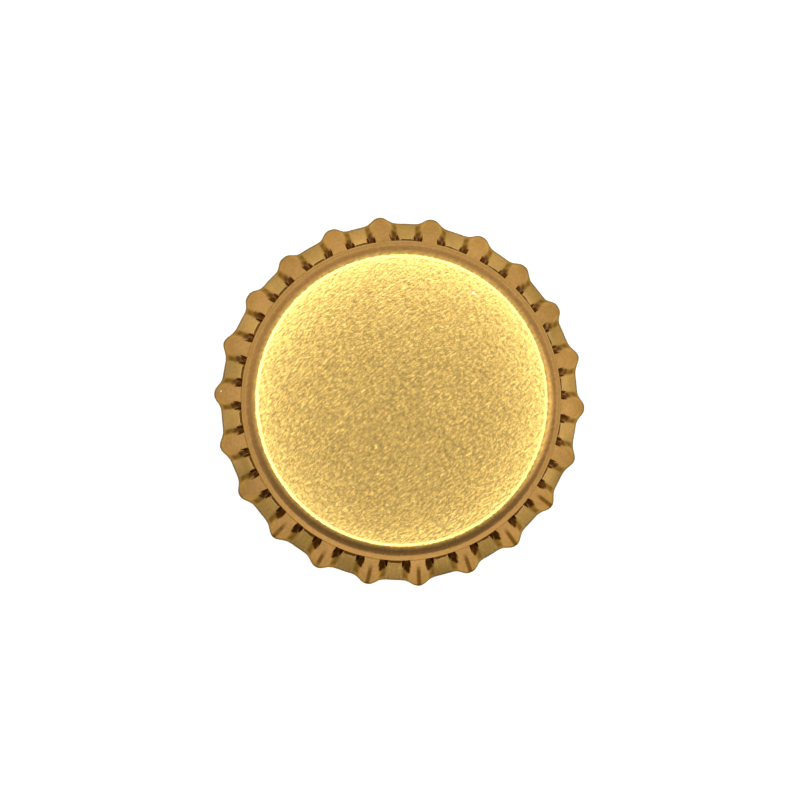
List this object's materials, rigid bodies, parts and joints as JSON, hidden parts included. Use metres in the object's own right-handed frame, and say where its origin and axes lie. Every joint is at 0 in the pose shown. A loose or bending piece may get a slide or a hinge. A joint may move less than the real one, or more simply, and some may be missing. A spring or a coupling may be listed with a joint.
{
  "type": "bottle cap",
  "caption": "Pressed metal crown cap with a flat satin top, a rounded shoulder, a fluted skirt and a moulded liner that seals the mouth of a bottle.",
  "frame": {"origin": "The middle of the plane of the skirt's cut edge, which the cap stands on", "axes": "+Z out of the top panel along the axis of the cap, +X through the middle of one flute"},
  "size_m": [0.032, 0.0318, 0.006],
  "materials": {
    "gold_lacquer": "satin gold lacquer on tinplate",
    "liner_polymer": "moulded, soft satin"
  },
  "bodies": {
    "root": {"shell": "gold_lacquer", "liner": "liner_polymer"}
  },
  "joints": []
}
